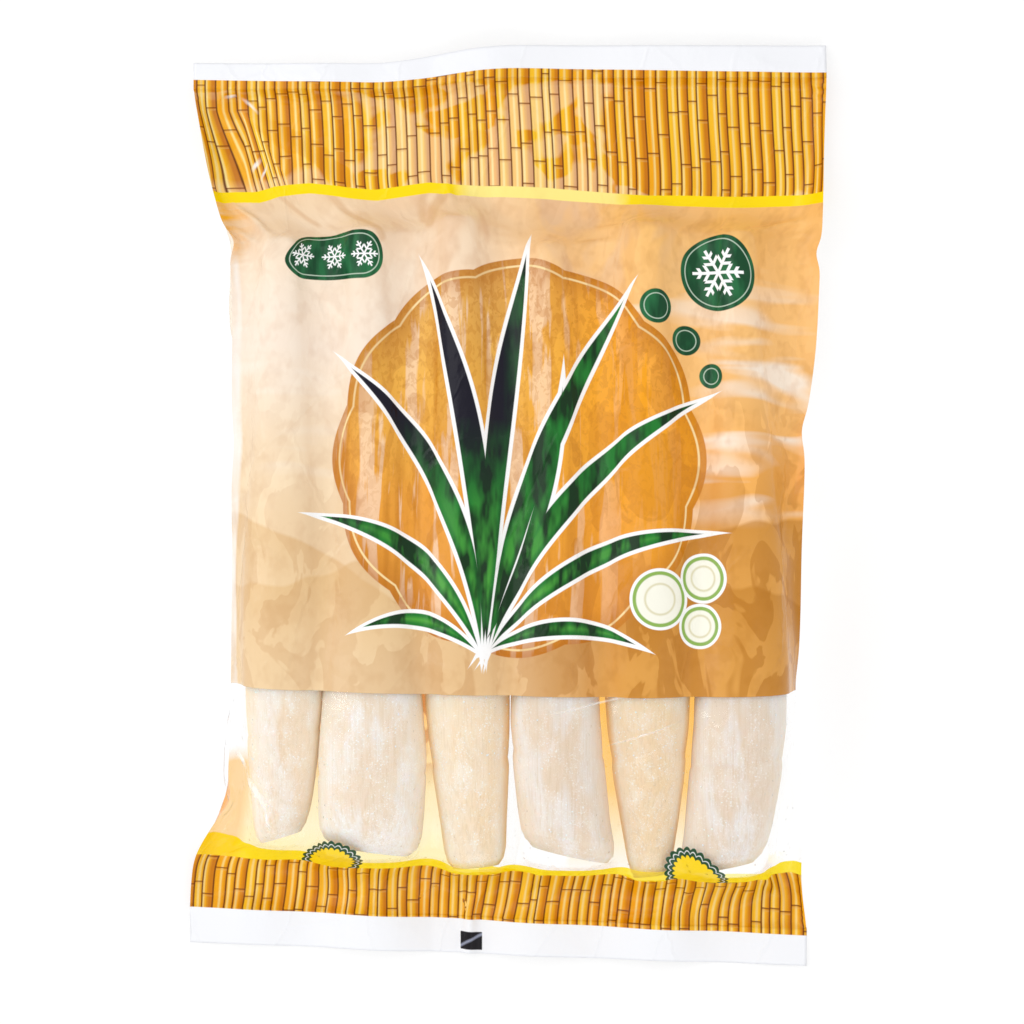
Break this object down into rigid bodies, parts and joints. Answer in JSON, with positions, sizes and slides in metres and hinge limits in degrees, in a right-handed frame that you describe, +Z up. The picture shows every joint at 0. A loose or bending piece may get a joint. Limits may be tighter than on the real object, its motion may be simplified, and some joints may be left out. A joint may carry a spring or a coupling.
{
  "type": "bag of frozen water bamboo shoots",
  "caption": "Sealed pillow bag of printed clear film, lying on its back, with peeled frozen water bamboo shoots side by side inside and showing through its lower window.",
  "frame": {"origin": "on the table, under the middle of the bag's outline", "axes": "+X across the bag towards its right side as its print is read, +Y along the bag towards its top seal, +Z up out of its printed front"},
  "size_m": [0.212, 0.307, 0.0301],
  "materials": {
    "shoot_flesh": "frosted, faintly fibrous plant flesh",
    "front_print": "glossy clear film, printed on its inner face",
    "back_print": "glossy clear film, printed on its inner face",
    "sealed_film": "white film, two layers fused"
  },
  "bodies": {
    "root": {"shoot_1": "shoot_flesh", "shoot_2": "shoot_flesh", "shoot_3": "shoot_flesh", "shoot_4": "shoot_flesh", "shoot_5": "shoot_flesh", "shoot_6": "shoot_flesh", "front_film": "front_print", "back_film_left": "back_print", "back_film_right": "back_print", "back_seam": "sealed_film", "top_end_seal": "sealed_film", "bottom_end_seal": "sealed_film"}
  },
  "joints": []
}
